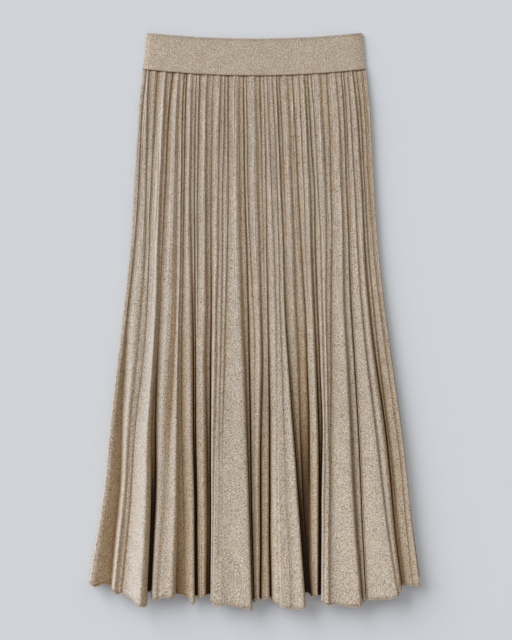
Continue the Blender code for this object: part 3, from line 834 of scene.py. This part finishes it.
def addBackPanel(material):
    shape = backPanel
    down = downTo(shape["rows"])
    half, back, _ = levelAt(down[:, None])
    groove = back - skirt["clear"] - skirt["wall"]
    side = back / 2 - skirt["gap"] / 2
    turns = np.radians(np.linspace(0, 90, shape["cornerPoints"]))[None, :]
    cornerIn = shape["corner"] * side * 2 * (1 - np.cos(turns))
    cornerHigh = side * (1 - np.sin(turns))
    parts = [(-half + cornerIn, cornerHigh, 0.0)]
    grooves = []
    for k in range(shape["valleys"]):
        even = (2 * k + 2) / (shape["valleys"] + 1) - 1
        sway = shape["sway"] * np.sin(shape["swayStep"] * k + shape["swayTurn"] * down[:, None])
        middle = half * (even + sway) + shape["wander"] * uneven("groove", down[:, None], k)
        across = middle + np.array(shape["grooveAcross"]) * shape["groove"]
        taller = 1 + shape["unevenHeight"] * uneven("grooveHeight", down[:, None], k)
        high = np.minimum(groove * np.array(shape["grooveHeight"]) * taller, groove)
        grooves.append((across, high, shape["drop"] * math.sin(shape["dropStep"] * k) ** 2))
    ends = [(half - cornerIn[:, ::-1], cornerHigh[:, ::-1], 0.0)]
    gaps = np.linspace(0, 1, shape["faceColumns"] + 2)[None, 1:-1]
    for across, high, drop in grooves + ends:
        before = parts[-1][0][:, -1:]
        flat = mix(before, across[:, :1], gaps)
        parts.append((flat, np.zeros(flat.shape), mix(parts[-1][2], drop, 0.5)))
        parts.append((across, high, drop))
    drops = [np.full(part[0].shape, part[2]) for part in parts]
    x, z = (np.concatenate([part[i] for part in parts], axis=1) for i in range(2))
    drop = np.concatenate(drops, axis=1) - shape["shorter"]
    y = panelY(x, down[:, None], half, drop)
    x = swayed(x, down[:, None], half)
    points = np.stack([x, y, z], axis=-1)[:, ::-1]
    cloth = clothPlace(x, z, down)[:, ::-1]
    piece = gridPiece("back_cloth", points, cloth, material)
    thicken(piece, skirt["wall"], -1)
    finishPiece(piece, "pleated_knit", "back_panel")
    addHemEdge("back_hem_edge", x[-1], y[-1], z[-1], -1, material)
    return piece


# The cast-off edge along each hem: a fine cord of knit, round its last row

hemEdge = {"radius": 0.0008, "sides": 8, "inset": 0.0004}


def addHemEdge(name, x, y, z, side, material):
    # x, y, z: the hem's points on the cloth's outer side. side: 1 where that side looks up, -1 down.
    # Each ring is a circle in the plane of the hem's own square direction and +Y.
    shape = hemEdge
    alongX, alongZ = np.gradient(x), np.gradient(z)
    length = np.hypot(alongX, alongZ)
    squareX, squareZ = -alongZ / length, alongX / length
    turn = np.linspace(0, 2 * math.pi, shape["sides"], endpoint=False)[None, :]
    out, down = shape["radius"] * np.cos(turn), shape["radius"] * np.sin(turn)
    deep = shape["inset"] * side
    points = np.stack([
        (x - deep * squareX)[:, None] + out * squareX[:, None],
        y[:, None] + down + 0 * x[:, None],
        np.maximum((z - deep * squareZ)[:, None] + out * squareZ[:, None], 0),
    ], axis=-1)
    along = np.concatenate([[0], np.cumsum(length[1:])])
    cloth = np.stack(np.broadcast_arrays(along[:, None], skirt["length"] + down, along[:, None]), axis=-1)
    finishPiece(gridPiece(name, points, cloth, material, wrap=True), "pleated_knit")


# Linking stitches: short fat loops of yarn, laid in rows across a seam

linking = {
    "waistStep": 0.0024, "sideStep": 0.0034, "length": 0.0021, "radius": 0.00052,
    # seamShade: the painted shade on the waist stitches, which lie down in their seam
    "rings": 5, "sides": 6, "slant": 0.5, "seamShade": 0.75,
    "blunt": 0.96,  # the last rings' place, as a share of half the stitch
    "endMargin": 0.15,  # of the band's round ends, which the rows at the waist leave free
    "frontSunk": 0.0006, "backHeight": 0.0008,  # below the band's face, and above the floor
    "sideDrop": 0.001,
}


def addStitches(name, places, ways, ups, material, slotName, shade=0.0):
    # places, ways and ups are count x 3: each stitch's middle, the way it runs and the way it stands up.
    # A ring's radius = sqrt(1 - share ^ 2) of the stitch's, share from -1 to 1 along it. shade: the painted
    # shade laid on them, for how deep they lie in their seam, 0 to 1.
    shape = linking
    share = np.linspace(-shape["blunt"], shape["blunt"], shape["rings"])[None, :, None, None]
    turn = np.linspace(0, 2 * math.pi, shape["sides"], endpoint=False)[None, None, :, None]
    wide = np.cross(ways, ups)
    radius = shape["radius"] * np.sqrt(1 - share ** 2)
    points = places[:, None, None] + ways[:, None, None] * share * shape["length"] / 2
    points = points + radius * (np.cos(turn) * wide[:, None, None] + np.sin(turn) * ups[:, None, None])
    index = np.arange(points.size // 3).reshape(points.shape[:3])
    after = np.roll(index, -1, axis=2)
    walls = np.stack([index[:, :-1], after[:, :-1], after[:, 1:], index[:, 1:]], axis=-1).reshape(-1, 4)
    faces = walls.tolist() + index[:, 0, ::-1].tolist() + index[:, -1].tolist()
    points = points.reshape(-1, 3)
    shades = {"paintedShade": np.full(len(points), shade)}
    finishPiece(addPiece(name, points, faces, points[:, [0, 1, 0]], shades, material), slotName)


def unit(x, y, z):
    ways = np.stack(np.broadcast_arrays(x, y, z), axis=-1).astype(float)
    return ways / np.linalg.norm(ways, axis=-1, keepdims=True)


def addWaistStitches(name, z, up, material):
    # Side by side along the seam, each one slanting over it from the panel to the band
    half = skirt["bandHalfSeam"] - waistband["frontCurve"] * linking["endMargin"]
    x = np.arange(-half, half, linking["waistStep"])
    y = seamY + skirt["seamRise"] * (x / skirt["bandHalfSeam"]) ** 2 - skirt["gap"] / 2
    share = np.clip((skirt["bandHalfSeam"] - np.abs(x)) / waistband["frontCurve"], 0, 1)
    high = mix(skirt["bandSideSeam"], z, np.sqrt(1 - (1 - share) ** 2)) if up > 0 else np.full(x.shape, z)
    addStitches(name, np.stack([x, y, high], axis=-1), unit(linking["slant"], np.ones(len(x)), 0),
                unit(0, 0, np.full(len(x), up)), material, "band_knit", linking["seamShade"])


def addSideStitches(name, side, material):
    # Up one side seam, each one over the line where the front meets the back
    length = skirt["length"] - skirt["hemRise"]
    down = np.arange(linking["sideStep"], length, linking["sideStep"]) / length
    half, back, _ = levelAt(down)
    y = panelY(half * side, down, half, linking["sideDrop"])
    places = np.stack([swayed(half * side, down, half), y, back / 2], axis=-1)
    addStitches(name, places, unit(0, linking["slant"], np.ones(len(down))),
                unit(np.full(len(down), side), 0, 0), material, "pleated_knit")


# The waistband: a knit band folded over at the top, its two halves joined at the side seams

waistband = {
    "wall": 0.0032, "columns": 240, "roundPoints": 12, "facePoints": 40, "faceStart": 0.03,
    "frontCurve": 0.018, "backCurve": 0.003,  # how wide its two ends round away to the side seams
    "endColumns": 1.6,  # how much closer together the columns are near the two ends
    "roundness": 0.8,  # 0.5 makes its ends a quarter of an ellipse
    "lip": 0.0010, "lipShares": (0.93, 0.975),  # how much its folded top stands up, and where
    "waves": 0.00035, "wavesAcross": 60, "wavesUp": 3, "waveSeed": 41,
}


def bandLoop(height):
    # Round the band's wall: up its outer side from the seam, over the fold, and down its inner side.
    # Returns the share up the band and the depth under its outer side, 0 to 1.
    shape = waistband
    face = np.linspace(shape["faceStart"], 1 - shape["faceStart"], shape["facePoints"])
    turn = np.linspace(0, math.pi, shape["roundPoints"] + 2)[1:-1]
    reach = shape["wall"] / 2 / height
    up = np.concatenate([face, 1 - reach + reach * np.sin(turn), face[::-1], reach - reach * np.sin(turn)])
    fold = 0.5 - 0.5 * np.cos(turn)
    deep = np.concatenate([np.zeros(len(face)), fold, np.ones(len(face)), fold[::-1]])
    return up, deep


def addBandHalf(name, material, front):
    # Each end curves away: height = low + rise * (1 - (1 - share) ^ 2) ^ roundness, share from the end
    shape, height = waistband, skirt["bandHeight"]
    up, deep = bandLoop(height)
    edge = np.linspace(-1, 1, shape["columns"])
    around = (np.sign(edge) * (1 - (1 - np.abs(edge)) ** shape["endColumns"]))[:, None]
    side = 1 if front else -1
    low = skirt["bandSideSeam"] + side * skirt["gap"] / 2
    rise = skirt["bandThickness"] - low if front else -low
    curve = shape["frontCurve"] if front else shape["backCurve"]
    half = mix(skirt["bandHalfSeam"], skirt["bandHalfTop"], up)[None, :]
    x = around * half
    share = np.clip((half - np.abs(x)) / curve, 0, 1)
    bend = (1 - (1 - share) ** 2) ** shape["roundness"]
    inner = deep[None, :] * shape["wall"]
    z = low + rise * bend - side * inner * bend
    x = x - np.sign(x) * inner * (1 - share)
    if front:
        lip = shape["lip"] * ease(up, *shape["lipShares"])[None, :] * (1 - deep[None, :])
        waves = ripple(x * shape["wavesAcross"], up[None, :] * shape["wavesUp"], shape["waveSeed"])
        z = np.maximum(z, low) + (shape["waves"] * waves + lip) * bend
    else:
        z = np.minimum(z, low)
    across = around ** 2
    y = seamY + mix(skirt["seamRise"] * across, height + skirt["bandTopRise"] * across, up[None, :])
    points = np.stack([x, y, z], axis=-1)
    along = np.broadcast_to(around * skirt["bandHalfSeam"], x.shape)
    roundWall = np.broadcast_to((up + deep)[None, :] * height, x.shape)
    cloth = np.stack([along, roundWall, along], axis=-1)
    if front:
        points, cloth = points[:, ::-1], cloth[:, ::-1]
    piece = gridPiece(name, points, cloth, material, wrap=True)
    finishPiece(piece, "band_knit", "waistband_front" if front else "waistband_back")
    return piece


addCamera()
addStudio()
stitches, ribs, marl = stitchGroup(), ribGroup(), marlGroup()
pleatMaterial = knitMaterial("pleated_knit", stitches, ribs, marl, pleatKnit)
bandMaterial = knitMaterial("band_knit", stitches, ribs, marl, bandKnit)
print("camera, studio and knit are ready")

front = addFrontPanel(pleatMaterial)
print("front panel laid")
back = addBackPanel(pleatMaterial)
print("back panel laid")
bandFront = addBandHalf("band_front_cloth", bandMaterial, True)
bandBack = addBandHalf("band_back_cloth", bandMaterial, False)
print("waistband folded")
addWaistStitches("waist_stitches_front", skirt["bandThickness"] - linking["frontSunk"], 1, bandMaterial)
addWaistStitches("waist_stitches_back", linking["backHeight"], -1, bandMaterial)
addSideStitches("side_stitches_left", -1, pleatMaterial)
addSideStitches("side_stitches_right", 1, pleatMaterial)
print("seams linked")
